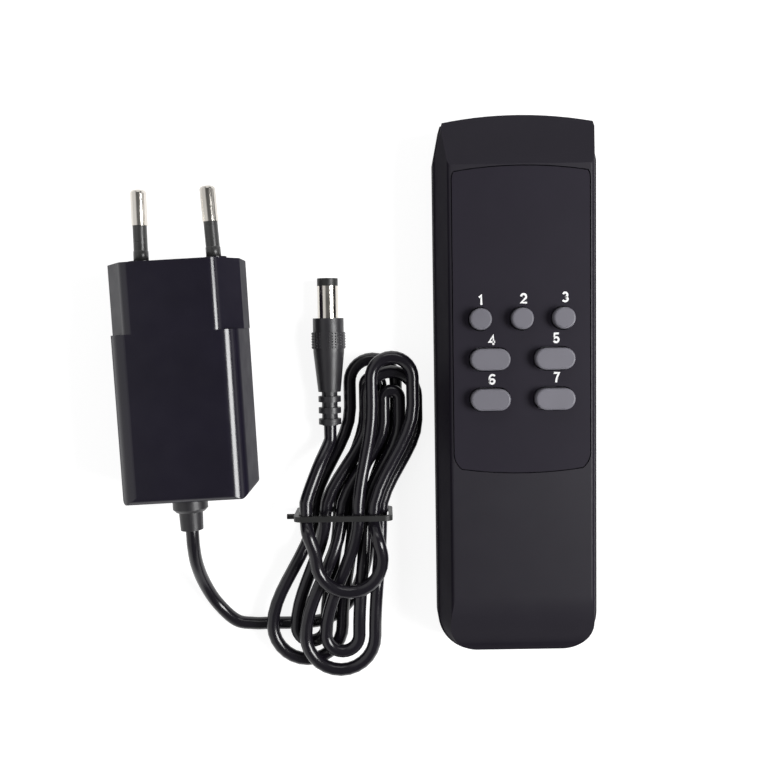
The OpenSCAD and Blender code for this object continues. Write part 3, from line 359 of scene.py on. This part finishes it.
materials = {name: surface(name, **look) for name, look in LOOKS.items()}
for row in frame["record"]["subparts"]:
    mesh = nodes[row["node"]].data
    mesh.materials.clear()
    mesh.materials.append(materials[row["material_slot"]])
curve.materials.append(materials["cord_jacket"])


def piece(name, mesh_name, bm, material, smooth=False):
    """Object on the root body from a finished bmesh."""
    mesh = bpy.data.meshes.new(mesh_name)
    bm.to_mesh(mesh)
    bm.free()
    for polygon in mesh.polygons:
        polygon.use_smooth = smooth
    mesh.materials.append(materials[material])
    o = bpy.data.objects.new(name, mesh)
    scene.collection.objects.link(o)
    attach(o, "set")
    return o


# Numerals printed on the face panel, above their keys: bold strokes in a box of height 1
def arc(x, y, rx, ry, start, stop, steps=14):
    angles = [math.radians(start + (stop - start) * i / steps) for i in range(steps + 1)]
    return [(x + rx * math.cos(a), y + ry * math.sin(a)) for a in angles]


STROKES = {
    1: [[(0.12, 0.72), (0.34, 0.91), (0.34, 0)]],
    2: [arc(0.3, 0.66, 0.24, 0.25, 175, -30) + [(0.07, 0.09), (0.62, 0.09)]],
    3: [arc(0.3, 0.7, 0.21, 0.21, 160, -90), arc(0.3, 0.28, 0.24, 0.2, 90, -160)],
    4: [[(0.45, 0), (0.45, 0.9), (0.06, 0.28), (0.64, 0.28)]],
    5: [[(0.56, 0.91), (0.16, 0.91), (0.11, 0.45)] + arc(0.31, 0.32, 0.24, 0.24, 140, -160)],
    6: [arc(0.36, 0.55, 0.3, 0.37, 45, 180) + arc(0.3, 0.3, 0.23, 0.22, 180, -180)],
    7: [[(0.03, 0.91), (0.53, 0.91), (0.34, 0.5), (0.24, 0)]],
}
STROKE_W = 0.19
SHARPEST = 0.6
NUMERAL_H = 2.6
NUMERAL_MID = (0.33, 0.5)
REMOTE_X = 41
TOP_Z = 20
PRINT_Z = TOP_Z + 0.02
# Middle of each numeral, x from the remote's middle line
NUMERALS = [(-10, 22.8), (0.6, 23), (10.9, 23.2), (-7.4, 12.9), (8.6, 13.1), (-7.4, 3), (8.7, 3.3)]


def on_panel(middle, u, v):
    """Place on the panel of a point in a numeral's box."""
    return Vector((REMOTE_X + middle[0] + (u - NUMERAL_MID[0]) * NUMERAL_H,
                   middle[1] + (v - NUMERAL_MID[1]) * NUMERAL_H, PRINT_Z)) * MM


def draw_stroke(bm, points, middle):
    """Flat band of the stroke's width along the points."""
    rows = []
    for i, p in enumerate(points):
        before, after = points[max(i - 1, 0)], points[min(i + 1, len(points) - 1)]
        a = Vector((p[0] - before[0], p[1] - before[1])).normalized()
        b = Vector((after[0] - p[0], after[1] - p[1])).normalized()
        along = (a + b).normalized()
        reach = STROKE_W / 2 / max(along.dot(a if a.length else b), SHARPEST)
        across = Vector((-along.y, along.x)) * reach
        rows.append([bm.verts.new(on_panel(middle, p[0] + s * across.x, p[1] + s * across.y)) for s in (1, -1)])
    for (a, b), (c, d) in zip(rows, rows[1:]):
        bm.faces.new((a, b, d, c))


for number, middle in enumerate(NUMERALS, 1):
    bm = bmesh.new()
    for points in STROKES[number]:
        draw_stroke(bm, points, middle)
    piece("numeral_%d" % number, "numeral_%d" % number, bm, "print")

# Band of small dots around the barrel plug's boot: columns in groups, with bare strips between
BOOT_R = 4.4
DOT_R, DOT_FLAT = 0.26, 0.6
DOT_COLUMNS, DOT_GROUP, DOT_BARE = 32, 8, (6, 7)
DOT_ROWS, DOT_STEP, DOT_INSET = 6, 0.72, 4.05
bm = bmesh.new()
for column in range(DOT_COLUMNS):
    if column % DOT_GROUP in DOT_BARE:
        continue
    around = Matrix.Rotation(2 * math.pi * (column + 0.5) / DOT_COLUMNS, 4, "Y")
    for row_i in range(DOT_ROWS):
        place = Matrix.Translation(Vector((BOOT_X, BOOT_Y - DOT_INSET - row_i * DOT_STEP, BOOT_Z)) * MM)
        place = place @ around @ Matrix.Translation(Vector((0, 0, BOOT_R)) * MM)
        bmesh.ops.create_icosphere(bm, subdivisions=1, radius=DOT_R * MM,
                                   matrix=place @ Matrix.Diagonal((1, 1, DOT_FLAT, 1)))
boot_dots = piece("boot_dots", "boot_dots", bm, "boot")

# Foot of each pin sleeve, a little thicker up to a ring line: heights above the plug's face, with radii
SLEEVE_R = 3.55 / 2
MOUNT_OUT = 14
FOOT = [(1.02, SLEEVE_R + 0.02), (1.1, SLEEVE_R + 0.14), (3.5, SLEEVE_R + 0.12), (3.64, SLEEVE_R + 0.02)]
FOOT_SIDES = 48
angles = [2 * math.pi * k / FOOT_SIDES for k in range(FOOT_SIDES)]
for mount in frame["record"]["mounts"]:
    if not mount["name"].startswith("mains_pin"):
        continue
    axis = Vector(mount["axis"])
    face = Vector(mount["pos_m"]) - MOUNT_OUT * MM * axis
    stand = Matrix.Translation(face) @ axis.to_track_quat("Z", "Y").to_matrix().to_4x4()
    bm = bmesh.new()
    rings = [[bm.verts.new(stand @ (Vector((r * math.cos(a), r * math.sin(a), h)) * MM)) for a in angles]
             for h, r in FOOT]
    for low, high in zip(rings, rings[1:]):
        for k in range(FOOT_SIDES):
            after = (k + 1) % FOOT_SIDES
            bm.faces.new((low[k], low[after], high[after], high[k]))
    piece(mount["name"].replace("mains_pin", "sleeve_foot"), "sleeve_foot", bm, "pin_sleeve", True)


# Floor, background and light
def seen_by_camera(tree):
    """1 for camera, glossy and transmission rays."""
    path = tree.nodes.new("ShaderNodeLightPath")
    total = path.outputs["Is Camera Ray"]
    for name in ("Is Glossy Ray", "Is Transmission Ray"):
        total = combine(tree, "MAXIMUM", total, path.outputs[name])
    return total


FLOOR_HALF = 3
FLOOR_Z = -0.0001
FLOOR_TONE = 0.32
FLOOR_GLOW = 0.87
corners = [(x * FLOOR_HALF, y * FLOOR_HALF, FLOOR_Z) for x, y in ((-1, -1), (1, -1), (1, 1), (-1, 1))]
floor_mesh = bpy.data.meshes.new("floor")
floor_mesh.from_pydata(corners, [], [(0, 1, 2, 3)])
floor = bpy.data.objects.new("floor", floor_mesh)
scene.collection.objects.link(floor)
m, tree, bsdf = start_material("floor")
bsdf.inputs["Base Color"].default_value = (FLOOR_TONE, FLOOR_TONE, FLOOR_TONE, 1)
bsdf.inputs["Roughness"].default_value = 0.9
bsdf.inputs["Specular IOR Level"].default_value = 0.1
glow = add(tree, "ShaderNodeEmission", Color=(1, 1, 1, 1))
tree.links.new(combine(tree, "MULTIPLY", seen_by_camera(tree), FLOOR_GLOW), glow.inputs["Strength"])
both = tree.nodes.new("ShaderNodeAddShader")
tree.links.new(bsdf.outputs["BSDF"], both.inputs[0])
tree.links.new(glow.outputs["Emission"], both.inputs[1])
tree.links.new(both.outputs["Shader"], tree.nodes["Material Output"].inputs["Surface"])
floor_mesh.materials.append(m)

# World: white along the horizon, dim above, paler on the left for the metal
HORIZON, DIM, LEFT = 1, 0.12, 0.8
world = bpy.data.worlds.new("world")
scene.world = world
world.use_nodes = True
tree = world.node_tree
back = tree.nodes["Background"]
split = tree.nodes.new("ShaderNodeSeparateXYZ")
tree.links.new(tree.nodes.new("ShaderNodeTexCoord").outputs["Generated"], split.inputs["Vector"])
sky = map_range(tree, split.outputs["Z"], HORIZON, DIM, 0.14, 0.3)
left = map_range(tree, split.outputs["X"], LEFT, DIM, -0.5, -0.25)
level = combine(tree, "MAXIMUM", sky, left)
tree.links.new(mix_colour(tree, level, (0, 0, 0, 1), (1, 1, 1, 1)), back.inputs["Color"])
back.inputs["Strength"].default_value = 1


def softbox(name, place, size, watts):
    """Area light that faces the middle of the set."""
    light = bpy.data.lights.new(name, "AREA")
    light.shape = "RECTANGLE"
    light.size, light.size_y = size
    light.energy = watts
    o = bpy.data.objects.new(name, light)
    scene.collection.objects.link(o)
    o.location = place
    o.rotation_euler = (-Vector(place)).to_track_quat("-Z", "Y").to_euler()


softbox("right_box", (0.46, -0.03, 0.46), (0.3, 0.27), 4.6)
softbox("head_box", (0.05, 0.7, 0.5), (0.6, 0.25), 1)

scene.view_settings.view_transform = "Standard"
bpy.context.view_layer.update()
